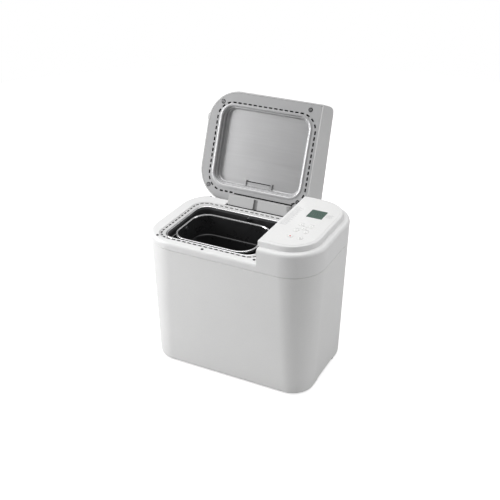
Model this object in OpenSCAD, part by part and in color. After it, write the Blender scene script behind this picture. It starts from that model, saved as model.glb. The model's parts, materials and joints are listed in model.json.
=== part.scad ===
/* [Housing] */
// Half of the housing's length at the floor
base_half_length = 179; // [170:1:185]
// Half of the housing's length at the shoulder
top_half_length = 192; // [186:1:196]
// Half of the housing's depth at the floor
base_half_depth = 111; // [105:1:116]
// Half of the housing's depth at the shoulder
top_half_depth = 127; // [122:1:130]
// Corner radius of the housing at the floor
base_corner = 48; // [40:1:55]
// Corner radius of the housing at the shoulder
top_corner = 76; // [65:1:80]
// Height of the seam between housing and top frame
seam_z = 279.5; // [278:0.5:281]
// Height of the deck round the baking chamber
deck_z = 296; // [295:0.5:298]
// Height of the shoulder under the control panel
shoulder_z = 330; // [326:1:334]
// Height of the control panel's face
panel_z = 341; // [338:1:345]
// Thickness of the moulded walls
wall = 3; // [2.5:0.1:3.5]

/* [Lid] */
// Angle that the lid opens through
lid_angle = 110.8; // [95:0.1:112]
// Depth of the lid from its hinge edge to its front edge
lid_depth = 241; // [236:1:242]
// Right end of the lid, next to the control panel
lid_right = 71.5; // [68:0.5:72]
// Left end of the lid
lid_left = -191; // [-193:1:-186]
// Height of the lid's dome at its front edge
lid_front_height = 66; // [55:1:75]
// Height of the lid's dome at its hinge edge
lid_back_height = 86; // [76:1:90]
// Depth of the metal dish in the lid
dish_depth = 16; // [12:1:20]
// Radius of the hinge pin
pin_radius = 3; // [2.5:0.1:3.5]

/* [Baking chamber] */
// Half of the chamber's inside length
chamber_half_length = 101; // [100:0.5:102]
// Half of the chamber's inside depth
chamber_half_depth = 79.5; // [79:0.5:80]
// Height of the chamber's floor
chamber_floor = 92; // [88:1:94]
// Half of the bread pan's outside length
pan_half_length = 88; // [84:1:89]
// Half of the bread pan's outside depth
pan_half_depth = 61; // [57:1:61]
// Height of the bread pan's rim
pan_rim_z = 291; // [286:1:292]
// Height of the bread pan's floor, outside
pan_floor = 132; // [130:1:136]

/* [Drive] */
// Pitch radius of the large pulley
large_radius = 45; // [40:1:48]
// Pitch radius of the motor pulley
small_radius = 9; // [8:0.5:12]
// Distance from the kneading shaft to the motor shaft
drive_span = 165; // [160:1:168]
// Width of the belt
belt_width = 8; // [6:1:9]

/* [Control panel] */
// Radius of a key
key_radius = 5.2; // [4.5:0.1:5.5]
// Travel of a key
key_travel = 0.8; // [0.6:0.1:1.2]

/* [Hidden] */
corner_steps = 9;
$fn = 48;

// Places that several parts share
split_x = 77;            // left wall of the block that carries the control panel
cap_x = 74;              // left edge of the control panel
hinge_y = 112;
hinge_z = 291.6;
lid_plane = 297.2;       // underside of the closed lid
lid_back = 115;          // hinge edge of the closed lid
lid_front = lid_back - lid_depth;
chamber_x = -44;
chamber_y = -19;
chamber_corner = 24;
pan_x = -48;
pan_y = -24;
pan_corner = 34;
motor_x = pan_x + drive_span;
belt_z = 46;
foot_z = 5;
ledge_z = 284;           // step behind the deck that the open lid stands in
plate_z = 8;             // upper face of the base plate
chassis_z = 56;
gland_x = 128;
gland_z = 38;
screw_x = 140;
screw_y = 75;
board_z = 318;           // underside of the control board
screen_x0 = 113.6;
screen_x1 = 146.8;
screen_y0 = 22.6;
screen_y1 = 58.4;
screen_gap = 0.2;
key_gap = 0.35;
overlay_inset = 20.5;
key_top = panel_z + key_travel + 0.1;
ring_x0 = -163;
ring_x1 = 73;
ring_y0 = -110;
ring_y1 = 81;
ring_corner = 33;
slot_x0 = -158;
slot_x1 = 68;
slot_y0 = -105;
slot_y1 = 75.5;
slot_corner = 28;
sensor_x = -32;
sensor_z = 286.5;
dish_x0 = -157;
dish_x1 = 49;
dish_y0 = -94;
dish_y1 = 78;
dish_corner = 26;
lid_corner = 71;
tab_y = -63;
keys_left = 121;
keys_right = 141.5;
bumper_places = [[-155.5, -104.5], [-45, -117.5], [65, -110]];

// Size of the housing's section at a height
function along(from, to, z) = from + (to - from) * z / shoulder_z;
function half_length(z) = along(base_half_length, top_half_length, z);
function half_depth(z) = along(base_half_depth, top_half_depth, z);
function corner(z) = along(base_corner, top_corner, z);

// Points of one rounded rectangle, with its own corner radius at the left and at the right
function ring(x0, x1, y0, y1, left_r, right_r, heights) = [
    for (q = [0:3], k = [0:corner_steps])
        let (r = (q == 0 || q == 3) ? right_r : left_r)
        let (cx = (q == 0 || q == 3) ? x1 - r : x0 + r)
        let (cy = q < 2 ? y1 - r : y0 + r)
        let (t = 90 * (q + k / corner_steps))
        let (y = cy + r * sin(t))
        [cx + r * cos(t), y, heights[0] + heights[1] * (y - lid_front) / lid_depth]
];
function body_ring(z, inset) = ring(-half_length(z) + inset, half_length(z) - inset, -half_depth(z) + inset,
    half_depth(z) - inset, corner(z) - inset, corner(z) - inset, [z, 0]);

// Solid through a stack of rings
module loft(rings) {
    n = len(rings[0]);
    m = len(rings);
    polyhedron(
        points = [for (r = rings, p = r) p],
        faces = concat(
            [[for (i = [0:n - 1]) i]],
            [[for (i = [n - 1:-1:0]) (m - 1) * n + i]],
            [for (j = [0:m - 2], i = [0:n - 1]) [j * n + i, (j + 1) * n + i, (j + 1) * n + (i + 1) % n]],
            [for (j = [0:m - 2], i = [0:n - 1]) [j * n + i, (j + 1) * n + (i + 1) % n, j * n + (i + 1) % n]]));
}

// Flat rounded rectangle between two corners, with its own corner radius at the left and at the right
module outline(x0, x1, y0, y1, left_r, right_r) {
    translate([x0 + left_r, y0]) square([x1 - x0 - left_r - right_r, y1 - y0]);
    translate([x0, y0 + left_r]) square([left_r + 1, y1 - y0 - 2 * left_r]);
    translate([x1 - right_r - 1, y0 + right_r]) square([right_r + 1, y1 - y0 - 2 * right_r]);
    for (y = [y0 + left_r, y1 - left_r]) translate([x0 + left_r, y]) circle(left_r);
    for (y = [y0 + right_r, y1 - right_r]) translate([x1 - right_r, y]) circle(right_r);
}
module slab(x0, x1, y0, y1, r, z0, z1) {
    translate([0, 0, z0]) linear_extrude(z1 - z0) outline(x0, x1, y0, y1, r, r);
}
// Rounded slab about a centre
module block(cx, cy, hx, hy, r, z0, z1) {
    slab(cx - hx, cx + hx, cy - hy, cy + hy, r, z0, z1);
}
// Plain box between two corners
module box(a, b) {
    translate(a) cube(b - a);
}
// Upright cylinder between two heights
module post(x, y, r, z0, z1) {
    translate([x, y, z0]) cylinder(h = z1 - z0, r = r);
}
// Puts a part of the closed lid where it is when the lid stands open
module open_lid() {
    translate([0, hinge_y, hinge_z]) rotate([-lid_angle, 0, 0]) translate([0, -hinge_y, -hinge_z]) children();
}
// Ventilation slots along a rounded rectangle: straight runs, and three slots in each corner
module slot_row(x0, x1, y0, y1, r, z0, z1, pitch, length, width) {
    nx = floor((x1 - x0 - 2 * r) / pitch);
    ny = floor((y1 - y0 - 2 * r) / pitch);
    for (i = [0:nx], y = [y0, y1])
        translate([x0 + r + (x1 - x0 - 2 * r) * i / nx, y, (z0 + z1) / 2])
            cube([length, width, z1 - z0], center = true);
    for (i = [0:ny], x = [x0, x1])
        translate([x, y0 + r + (y1 - y0 - 2 * r) * i / ny, (z0 + z1) / 2])
            cube([width, length, z1 - z0], center = true);
    for (q = [0:3], k = [1:3])
        translate([q == 0 || q == 3 ? x1 - r : x0 + r, q < 2 ? y1 - r : y0 + r, (z0 + z1) / 2])
            rotate([0, 0, 90 * q + 22.5 * k]) translate([r, 0, 0])
                cube([width, length, z1 - z0], center = true);
}

// ---- Housing ----
module base_plate() {
    color("#d9d9d6") difference() {
        union() {
            block(0, 0, 172, 104, 42, foot_z, plate_z);
            difference() {
                block(0, 0, 172, 104, 42, plate_z - 1, 18);
                block(0, 0, 169, 101, 39, plate_z - 2, 19);
            }
        }
        for (x = [76:12:160]) box([x - 2, -50, 0], [x + 2, 2, 12]);
        for (x = [-screw_x, screw_x], y = [-screw_y, screw_y]) post(x, y, 2.2, 0, 20);
    }
}
module rubber_feet() {
    color("#3a3a3a") for (x = [-125, 125], y = [-82, 82]) difference() {
        post(x, y, 11, 0, foot_z);
        post(x, y, 4, -1, 2);
    }
}
module base_screws() {
    color("#9a9a9a") for (x = [-screw_x, screw_x], y = [-screw_y, screw_y]) {
        post(x, y, 1.9, foot_z, 17);
        post(x, y, 3.6, foot_z - 2, foot_z);
    }
}
module lower_housing() {
    color("#e6e6e4") difference() {
        loft([body_ring(4, 3), body_ring(7, 1), body_ring(12, 0), body_ring(seam_z, 0)]);
        loft([body_ring(3, wall + 3), body_ring(12, wall), body_ring(seam_z - 6, wall), body_ring(seam_z + 1, wall)]);
        // finger grips under the two ends
        for (s = [-1, 1]) translate([s * 178, 0, 0]) box([-20, -42, 0], [20, 42, 11]);
        // hole for the mains lead
        translate([gland_x, 100, gland_z]) rotate([-90, 0, 0]) cylinder(h = 30, r = 7.2);
        // air slots at the back
        for (i = [0:7]) translate([-60 + 16 * i, 95, 50]) box([-2, 0, 0], [2, 40, 26]);
    }
    // bosses that the base plate is screwed to, each with a rib to the wall
    color("#e6e6e4") for (x = [-screw_x, screw_x], s = [-1, 1]) difference() {
        union() {
            post(x, s * screw_y, 5, plate_z, 30);
            translate([x - 1.5, s > 0 ? screw_y : -screw_y - 34.5, plate_z + 11]) cube([3, 34.5, 11]);
        }
        post(x, s * screw_y, 2, plate_z - 1, 24);
    }
}
module top_frame() {
    color("#f1f1f0") difference() {
        union() {
            loft([body_ring(seam_z, 0), body_ring(deck_z - 8, 0), body_ring(deck_z - 3, 1.2),
                body_ring(deck_z - 1, 2.8), body_ring(deck_z, 5)]);
            intersection() {
                loft([body_ring(seam_z, 0), body_ring(shoulder_z - 8, 0), body_ring(shoulder_z - 4, 1),
                    body_ring(shoulder_z - 1, 3.5), body_ring(shoulder_z, 6.5)]);
                box([split_x, -200, seam_z - 1], [250, 200, shoulder_z + 1]);
            }
        }
        loft([body_ring(seam_z - 1, wall), body_ring(deck_z - wall, wall)]);
        intersection() {
            loft([body_ring(seam_z - 1, wall), body_ring(shoulder_z - 16, wall), body_ring(shoulder_z - wall, wall + 9)]);
            box([split_x + wall, -200, seam_z - 1], [250, 200, shoulder_z]);
        }
        intersection() {
            loft([body_ring(shoulder_z - 6, 19), body_ring(shoulder_z + 1, 19)]);
            box([split_x + 8, -200, shoulder_z - 6], [250, 200, shoulder_z + 1]);
        }
        slab(ring_x0, ring_x1, ring_y0, ring_y1, ring_corner, deck_z - 10, deck_z + 1);
        // pocket for the lid's hinge lug
        box([-102.5, 83.4, deck_z - 20], [41.5, 112, deck_z + 1]);
        // step that the lid's hinge edge swings down into
        box([-152, 107, ledge_z], [cap_x + 1, 140, deck_z + 1]);
        for (p = bumper_places) post(p[0], p[1], 2, deck_z - 10, deck_z + 1);
    }
    // floor under the step
    color("#f1f1f0") difference() {
        intersection() {
            loft([body_ring(seam_z, 1), body_ring(ledge_z, 1)]);
            box([-152, 107, seam_z + 1], [split_x, 140, ledge_z]);
        }
        box([-108, 100, 270], [47, 120.5, 290]);
    }
}
module deck_bumpers() {
    color("#2b2b2b") for (p = bumper_places) {
        post(p[0], p[1], 1.9, deck_z - 4, deck_z);
        post(p[0], p[1], 2.8, deck_z, deck_z + 0.8);
    }
}
module deck_ring() {
    color("#a9abad") difference() {
        slab(ring_x0 + 0.4, ring_x1 - 0.4, ring_y0 + 0.4, ring_y1 - 0.4, ring_corner - 0.4, deck_z - 3, deck_z - 0.8);
        block(chamber_x, chamber_y, chamber_half_length + 4.6, chamber_half_depth + 4.6, chamber_corner + 4.6,
            deck_z - 5, deck_z);
        slot_row(slot_x0, slot_x1, slot_y0, slot_y1, slot_corner, deck_z - 5, deck_z, 12, 7.5, 3.2);
    }
}
module cord_gland() {
    color("#c9c9c7") translate([gland_x, 0, gland_z]) rotate([-90, 0, 0]) difference() {
        union() {
            translate([0, 0, 106]) cylinder(h = 10, r = 7);
            translate([0, 0, 113.4]) cylinder(h = 3, r = 10);
            translate([0, 0, 106]) cylinder(h = 3, r = 9.5);
        }
        translate([0, 0, 100]) cylinder(h = 30, r = 3.6);
    }
}

// ---- Control panel ----
key_places = [[keys_left, -69], [keys_right, -69], [keys_left, -16], [keys_left, -42], [131.3, -29],
    [keys_right, -16], [keys_right, -42]];
// Holes for the screen and for the keys
module panel_holes() {
    box([screen_x0 - screen_gap, screen_y0 - screen_gap, shoulder_z],
        [screen_x1 + screen_gap, screen_y1 + screen_gap, panel_z + 2]);
    for (p = key_places) post(p[0], p[1], key_radius + key_gap, shoulder_z, panel_z + 2);
}
module panel_cap() {
    color("#ececeb") difference() {
        intersection() {
            loft([body_ring(shoulder_z + 0.2, 13), body_ring(panel_z - 2.5, 14.5), body_ring(panel_z - 1, 15.5),
                body_ring(panel_z, 17.5)]);
            box([cap_x, -200, shoulder_z], [250, 200, panel_z + 1]);
        }
        intersection() {
            loft([body_ring(shoulder_z - 1, 16), body_ring(panel_z - 2.5, 18)]);
            box([cap_x + wall, -200, shoulder_z - 2], [250, 200, panel_z]);
        }
        panel_holes();
    }
    // posts that the control board hangs from
    color("#ececeb") for (x = [102, 152], y = [-80, 76]) post(x, y, 3, board_z + 1.6, panel_z - 2);
}
module panel_overlay() {
    half = half_length(panel_z) - overlay_inset;
    deep = half_depth(panel_z) - overlay_inset;
    color("#f4f4f3") difference() {
        intersection() {
            slab(-half, half, -deep, deep, corner(panel_z) - overlay_inset, panel_z, panel_z + 0.4);
            box([cap_x + 2.5, -200, 0], [250, 200, 400]);
        }
        panel_holes();
    }
}
module lcd_window() {
    color("#5d6f66") slab(screen_x0, screen_x1, screen_y0, screen_y1, 2, panel_z - 2, panel_z + 0.6);
}
module lcd_module() {
    color("#8a9a8e") box([111, 20, panel_z - 9], [149.5, 61, panel_z - 2.7]);
    color("#2e5d3a") box([108, 17, panel_z - 11], [152, 64, panel_z - 9]);
}
module control_board() {
    top = board_z + 1.6;
    color("#2e5d3a") box([98, -88, board_z], [156, 82, top]);
    for (p = key_places) {
        color("#333333") box([p[0] - 3, p[1] - 3, top], [p[0] + 3, p[1] + 3, top + 3.4]);
        color("#dddddd") post(p[0], p[1], 1.7, top + 3.4, top + 7.2);
    }
    color("#333333") post(106, 4, 6, top, top + 9);
    color("#c9c2a8") box([112, 24, top], [148, 56, top + 2.4]);
}
// One key: cap, retaining flange under the panel, and stem down to its switch
module key(index) {
    p = key_places[index];
    post(p[0], p[1], key_radius, panel_z - 4, key_top - 0.4);
    post(p[0], p[1], key_radius - 0.5, key_top - 0.5, key_top);
    post(p[0], p[1], key_radius + 1.3, panel_z - 5, panel_z - 3.2);
    post(p[0], p[1], 2.2, board_z + 10, panel_z - 4);
}
module start_key() { color("#f4f4f3") key(0); }
module stop_key() { color("#f4f4f3") key(1); }
module menu_key() { color("#f4f4f3") key(2); }
module size_key() { color("#f4f4f3") key(3); }
module crust_key() { color("#f4f4f3") key(4); }
module timer_up_key() { color("#f4f4f3") key(5); }
module timer_down_key() { color("#f4f4f3") key(6); }

// ---- Baking chamber ----
chamber_top = deck_z - 3.2;
heater_z = 116;
heater_r = 3.3;
heater_hx = 86;
heater_hy = 64;
heater_corner = 22;
lead_offset = 22;        // from the chamber's middle to each end of the heating element
module chamber() {
    color("#4a4a4c") difference() {
        union() {
            block(chamber_x, chamber_y, chamber_half_length + 1.2, chamber_half_depth + 1.2, chamber_corner + 1.2,
                chamber_floor, chamber_top);
            block(chamber_x, chamber_y, chamber_half_length + 5.5, chamber_half_depth + 5.5, chamber_corner + 5.5,
                chamber_top - 1.2, chamber_top);
        }
        block(chamber_x, chamber_y, chamber_half_length, chamber_half_depth, chamber_corner,
            chamber_floor + 1.2, chamber_top + 1);
        post(pan_x, pan_y, 14.2, chamber_floor - 1, chamber_floor + 2);
        for (s = [-1, 1]) translate([chamber_x + chamber_half_length - 3, chamber_y + lead_offset * s, heater_z]) rotate([0, 90, 0])
            cylinder(h = 8, r = 4.2);
        translate([sensor_x, chamber_y + chamber_half_depth - 3, sensor_z]) rotate([-90, 0, 0]) cylinder(h = 8, r = 3.3);
    }
}
module chamber_rim() {
    color("#e2e4e6") difference() {
        block(chamber_x, chamber_y, chamber_half_length + 4, chamber_half_depth + 4, chamber_corner + 4,
            chamber_top, deck_z);
        block(chamber_x, chamber_y, chamber_half_length + 0.4, chamber_half_depth + 0.4, chamber_corner + 0.4,
            chamber_top - 1, deck_z + 1);
    }
}
module heating_element() {
    color("#3d3a38") {
        for (s = [-1, 1]) {
            translate([chamber_x - heater_hx + heater_corner, chamber_y + s * heater_hy, heater_z]) rotate([0, 90, 0])
                cylinder(h = 2 * (heater_hx - heater_corner), r = heater_r);
            translate([chamber_x + heater_hx, chamber_y + (s > 0 ? lead_offset : -heater_hy + heater_corner), heater_z])
                rotate([-90, 0, 0]) cylinder(h = heater_hy - heater_corner - lead_offset, r = heater_r);
            translate([chamber_x + heater_hx - 3, chamber_y + lead_offset * s, heater_z]) rotate([0, 90, 0])
                cylinder(h = 34, r = heater_r);
        }
        translate([chamber_x - heater_hx, chamber_y - heater_hy + heater_corner, heater_z]) rotate([-90, 0, 0])
            cylinder(h = 2 * (heater_hy - heater_corner), r = heater_r);
        for (q = [0:3])
            translate([chamber_x + (q == 0 || q == 3 ? 1 : -1) * (heater_hx - heater_corner),
                chamber_y + (q < 2 ? 1 : -1) * (heater_hy - heater_corner), heater_z])
                rotate([0, 0, 90 * q]) rotate_extrude(angle = 90) translate([heater_corner, 0]) circle(heater_r);
    }
}
module heater_clips() {
    color("#b8babb") for (x = [-90, 2], s = [-1, 1])
        box([x - 5, chamber_y + s * heater_hy - 4, chamber_floor + 1.2],
            [x + 5, chamber_y + s * heater_hy + 4, heater_z - heater_r]);
}
module temperature_sensor() {
    color("#e6e6e6") translate([sensor_x, 0, sensor_z]) rotate([-90, 0, 0]) {
        translate([0, 0, chamber_y + chamber_half_depth - 5]) cylinder(h = 5, r = 4.5);
        translate([0, 0, chamber_y + chamber_half_depth - 1]) cylinder(h = 14, r = 3.1);
    }
}
seat_z = chamber_floor + 1.2;
module pan_seat() {
    color("#b8babb") difference() {
        union() {
            block(pan_x, pan_y, 58, 40, 14, seat_z, seat_z + 3);
            for (s = [-1, 1]) box([pan_x + s * 54 - 2, pan_y - 14, seat_z], [pan_x + s * 54 + 2, pan_y + 14, seat_z + 15]);
        }
        post(pan_x, pan_y, 26, seat_z - 1, seat_z + 4);
        for (s = [-1, 1]) post(pan_x + 45 * s, pan_y, 2.5, seat_z - 1, seat_z + 4);
    }
}

// ---- Drive ----
module chassis() {
    color("#a4a7aa") difference() {
        union() {
            slab(-118, 168, -84, 36, 10, chassis_z, chassis_z + 3);
            for (x = [-106, 156], y = [-72, 24]) post(x, y, 7, plate_z, chassis_z);
            for (x = [-108, 20], y = [-74, 26]) post(x, y, 6, chassis_z + 3, chamber_floor);
        }
        post(pan_x, pan_y, 16, chassis_z - 1, chassis_z + 4);
        post(motor_x, pan_y, 9, chassis_z - 1, chassis_z + 4);
        for (s = [-1, 1]) post(motor_x, pan_y + 28 * s, 2.2, chassis_z - 1, chassis_z + 4);
        for (a = [45:90:315]) post(pan_x + 22 * cos(a), pan_y + 22 * sin(a), 2.1, chassis_z - 1, chassis_z + 4);
    }
}
module bearing_housing() {
    color("#c3c5c7") difference() {
        union() {
            post(pan_x, pan_y, 14, chassis_z + 3, 95);
            post(pan_x, pan_y, 30, chassis_z + 3, chassis_z + 7);
            post(pan_x, pan_y, 24, chamber_floor - 4, chamber_floor);
        }
        post(pan_x, pan_y, 8, chassis_z, 100);
        for (a = [45:90:315]) post(pan_x + 22 * cos(a), pan_y + 22 * sin(a), 2.1, chassis_z, chassis_z + 9);
    }
}
module bearing_bushes() {
    color("#b08d57") for (z = [chassis_z + 3, 83]) difference() {
        post(pan_x, pan_y, 7.96, z, z + 12);
        post(pan_x, pan_y, 5.05, z - 1, z + 13);
    }
}
module drive_shaft() {
    color("#c9ccd0") post(pan_x, pan_y, 5, 36, 99);
}
module large_pulley() {
    color("#2f2f31") translate([pan_x, pan_y, 0]) difference() {
        rotate_extrude() polygon([[5.02, 37], [14, 37], [14, 42], [large_radius - 6, 42], [large_radius - 6, 39.5],
            [large_radius + 3, 39.5], [large_radius, 41.5], [large_radius, 50.5], [large_radius + 3, 52.5],
            [large_radius - 6, 52.5], [large_radius - 6, 47], [14, 47], [14, 54], [5.02, 54]]);
        for (a = [0:60:300]) rotate([0, 0, a]) translate([26, 0, 30]) cylinder(h = 30, r = 8);
    }
}
module drive_coupling() {
    color("#8f9296") difference() {
        union() {
            post(pan_x, pan_y, 13, 96.2, 101);
            for (s = [-1, 1]) translate([pan_x, pan_y + 8.5 * s, 103.5]) cube([5, 7, 7], center = true);
        }
        post(pan_x, pan_y, 5.02, 90, 99.2);
    }
}
module motor() {
    color("#9da0a4") difference() {
        union() {
            post(motor_x, pan_y, 36, 64, 142);
            post(motor_x, pan_y, 8.4, chassis_z + 1, 64);
            post(motor_x, pan_y, 10, 142, 150);
            box([motor_x - 33, pan_y - 10, 62], [motor_x + 33, pan_y + 10, 64]);
            for (s = [-1, 1]) post(motor_x, pan_y + 28 * s, 5, chassis_z + 3, 64);
        }
        post(motor_x, pan_y, 3.06, 40, 152);
        for (s = [-1, 1]) post(motor_x, pan_y + 28 * s, 2, 50, 75);
    }
}
module motor_shaft() {
    color("#c9ccd0") post(motor_x, pan_y, 3, 37, 152);
}
module small_pulley() {
    color("#2f2f31") translate([motor_x, pan_y, 0]) rotate_extrude() polygon([[3.02, 38], [small_radius + 3, 38],
        [small_radius, 40.5], [small_radius, 51.5], [small_radius + 3, 54], [3.02, 54]]);
}
module motor_screws() {
    color("#9a9a9a") for (s = [-1, 1]) {
        post(motor_x, pan_y + 28 * s, 1.9, chassis_z, 74);
        post(motor_x, pan_y + 28 * s, 3.6, chassis_z - 3, chassis_z);
    }
}
// Outline of a belt that runs round both pulleys at a distance from their grooves
module belt_outline(gap) {
    r0 = large_radius + gap;
    r1 = small_radius + gap;
    lean = acos((r0 - r1) / drive_span);
    translate([pan_x, pan_y]) circle(r0);
    translate([motor_x, pan_y]) circle(r1);
    translate([pan_x, pan_y]) polygon([
        [r0 * cos(lean), r0 * sin(lean)],
        [r0 * cos(lean), -r0 * sin(lean)],
        [drive_span + r1 * cos(lean), -r1 * sin(lean)],
        [drive_span + r1 * cos(lean), r1 * sin(lean)]]);
}
module drive_belt() {
    color("#222222") translate([0, 0, belt_z - belt_width / 2]) linear_extrude(belt_width) difference() {
        belt_outline(2.6);
        belt_outline(0.35);
    }
}
module power_board() {
    color("#2e5d3a") box([40, 52, 20], [128, 92, 21.6]);
    color("#3b3b3b") box([50, 58, 21.6], [76, 84, 46]);
    color("#c2a23a") box([84, 58, 21.6], [102, 76, 38]);
    color("#2c4f9a") for (x = [112, 121]) post(x, 66, 4, 21.6, 40);
    color("#d9d9d6") for (x = [46, 122], y = [56, 88]) post(x, y, 3, plate_z, 20);
}

// ---- Bread pan ----
module bread_pan() {
    step_z = 243;
    color("#3c3c3e") difference() {
        union() {
            block(pan_x, pan_y, pan_half_length, pan_half_depth, pan_corner, step_z - 3, pan_rim_z);
            block(pan_x, pan_y, pan_half_length - 3, pan_half_depth - 3, pan_corner - 3, pan_floor, step_z);
            block(pan_x, pan_y, pan_half_length + 2.5, pan_half_depth + 2.5, pan_corner + 2.5, pan_rim_z - 2.5, pan_rim_z);
        }
        block(pan_x, pan_y, pan_half_length - 1.6, pan_half_depth - 1.6, pan_corner - 1.6, step_z, pan_rim_z + 1);
        block(pan_x, pan_y, pan_half_length - 4.6, pan_half_depth - 4.6, pan_corner - 4.6, pan_floor + 2.4, pan_rim_z);
        post(pan_x, pan_y, 9.05, pan_floor - 1, pan_floor + 4);
        for (s = [-1, 1]) translate([pan_x + s * pan_half_length, pan_y, handle_z]) rotate([0, 90, 0])
            cylinder(h = 20, r = 2.05, center = true);
    }
}
module pan_foot() {
    color("#9a9c9e") difference() {
        block(pan_x, pan_y, 50, 36, 12, seat_z + 3.3, pan_floor);
        block(pan_x, pan_y, 47.5, 33.5, 10, seat_z, pan_floor - 5);
        post(pan_x, pan_y, 9.05, 90, pan_floor + 1);
    }
}
module pan_bearing() {
    color("#b08d57") difference() {
        union() {
            post(pan_x, pan_y, 9, 116, pan_floor + 2.4);
            post(pan_x, pan_y, 14, pan_floor + 2.4, pan_floor + 4.8);
        }
        post(pan_x, pan_y, 4.05, 110, 150);
    }
}
handle_z = 280;
handle_reach = 67;
handle_half = pan_half_length + 5;
module handle_pivots() {
    color("#d0d2d4") for (s = [-1, 1]) translate([pan_x + s * pan_half_length, pan_y, handle_z])
        rotate([0, 90 * s, 0]) {
            translate([0, 0, -1.8]) cylinder(h = 8.6, r = 2);
            translate([0, 0, -3]) cylinder(h = 1.3, r = 4);
        }
}
module pan_handle() {
    thick = 1.6;
    bend = 14;
    color("#c9cbcd") {
        for (s = [-1, 1]) {
            translate([pan_x + s * handle_half, pan_y, handle_z]) difference() {
                rotate([0, 90, 0]) cylinder(h = 2.4, r = 5, center = true);
                rotate([0, 90, 0]) cylinder(h = 6, r = 2.06, center = true);
            }
            translate([pan_x + s * handle_half, pan_y - handle_reach + bend, handle_z]) rotate([-90, 0, 0])
                cylinder(h = handle_reach - bend - 4.4, r = thick);
            translate([pan_x + s * (handle_half - bend), pan_y - handle_reach + bend, handle_z])
                rotate([0, 0, s > 0 ? 270 : 180]) rotate_extrude(angle = 90) translate([bend, 0]) circle(thick);
        }
        translate([pan_x - handle_half + bend, pan_y - handle_reach, handle_z]) rotate([0, 90, 0])
            cylinder(h = 2 * (handle_half - bend), r = thick);
    }
}
module kneading_shaft() {
    color("#d0d3d6") difference() {
        post(pan_x, pan_y, 4, 104, 162);
        box([pan_x + 2.4, pan_y - 5, 141], [pan_x + 6, pan_y + 5, 163]);
    }
}
module driven_coupling() {
    color("#8f9296") difference() {
        union() {
            post(pan_x, pan_y, 13, 107.6, 112);
            for (s = [-1, 1]) translate([pan_x + 8.5 * s, pan_y, 105]) cube([7, 5, 6], center = true);
        }
        post(pan_x, pan_y, 4.02, 100, 120);
    }
}
module kneading_blade() {
    color("#4a4a4c") difference() {
        union() {
            post(pan_x, pan_y, 9, 138, 160);
            post(pan_x, pan_y, 12, 138, 142);
            intersection() {
                box([pan_x - 44, pan_y - 2, 139], [pan_x + 4, pan_y + 2, 186]);
                translate([pan_x - 8, pan_y + 6, 150]) rotate([90, 0, 0]) cylinder(h = 12, r = 36);
            }
        }
        difference() {
            post(pan_x, pan_y, 4.06, 137, 163);
            box([pan_x + 2.46, pan_y - 5, 141], [pan_x + 6, pan_y + 5, 163]);
        }
    }
}

// ---- Lid ----
// Outline of the lid at a height above its underside, drawn in and flattened towards the dome
function lid_ring(inset, rise, hinge_inset) =
    let (front = rise * lid_front_height)
    let (back = rise * lid_back_height)
    ring(lid_left + inset, lid_right, lid_front + inset, lid_back - hinge_inset, lid_corner - inset, 4,
        [lid_plane + front, back - front]);
module lid_shell() {
    color("#dcdddc") open_lid() difference() {
        loft([lid_ring(0, 0, 0), lid_ring(0, 0.05, 0), lid_ring(0.4, 0.3, 9), lid_ring(0.9, 0.55, 10),
            lid_ring(1.8, 0.78, 11.5), lid_ring(4.2, 0.92, 17), lid_ring(9, 0.98, 27), lid_ring(19, 1, 38)]);
        intersection() {
            loft([lid_ring(wall, -0.05, wall), lid_ring(wall, 0.06, wall), lid_ring(wall + 1, 0.3, wall + 9),
                lid_ring(wall + 1.8, 0.54, wall + 10), lid_ring(wall + 3.2, 0.72, 16), lid_ring(wall + 6, 0.86, 22),
                lid_ring(wall + 14, 0.93, 32)]);
            box([-300, -200, 0], [lid_right - wall, 200, 500]);
        }
        for (i = [0:6]) box([-80 + 9 * i, 26, 350], [-76 + 9 * i, 58, 400]);
        // pocket for the tab
        box([lid_left - 3, tab_y - 7.2, lid_plane + 5.8], [lid_left + 1.5, tab_y + 7.2, lid_plane + 14.2]);
    }
}
module lid_frame() {
    color("#b9bbbd") open_lid() difference() {
        translate([0, 0, lid_plane]) linear_extrude(3)
            outline(lid_left + wall + 0.4, lid_right - wall - 0.4, lid_front + wall + 0.4, lid_back - wall - 0.6,
                lid_corner - wall - 0.4, 3.6);
        slab(dish_x0 - 1.5, dish_x1 + 1.5, dish_y0 - 1.5, dish_y1 + 1.5, dish_corner + 1.5, 290, 310);
        difference() {
            slot_row(-168.5, 62.5, -101, 92.5, 36, 290, 310, 11.5, 7.8, 3.4);
            // no slots along the lug or beside the screw nearest to it
            box([-101.5, 85, 280], [34, 100, 320]);
            box([45, 77, 280], [57, 90, 320]);
        }
        for (p = lid_screw_places) post(p[0], p[1], 2.1, 290, 310);
    }
}
lid_screw_places = [[-160.5, -99.5], [44, -111], [-166, 85], [50, 85]];
module lid_screws() {
    color("#8d8f91") open_lid() for (p = lid_screw_places) {
        post(p[0], p[1], 1.95, lid_plane, lid_plane + 8);
        difference() {
            post(p[0], p[1], 3.6, lid_plane - 0.9, lid_plane);
            box([p[0] - 2.4, p[1] - 0.5, 290], [p[0] + 2.4, p[1] + 0.5, lid_plane - 0.4]);
            box([p[0] - 0.5, p[1] - 2.4, 290], [p[0] + 0.5, p[1] + 2.4, lid_plane - 0.4]);
        }
    }
}
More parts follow.
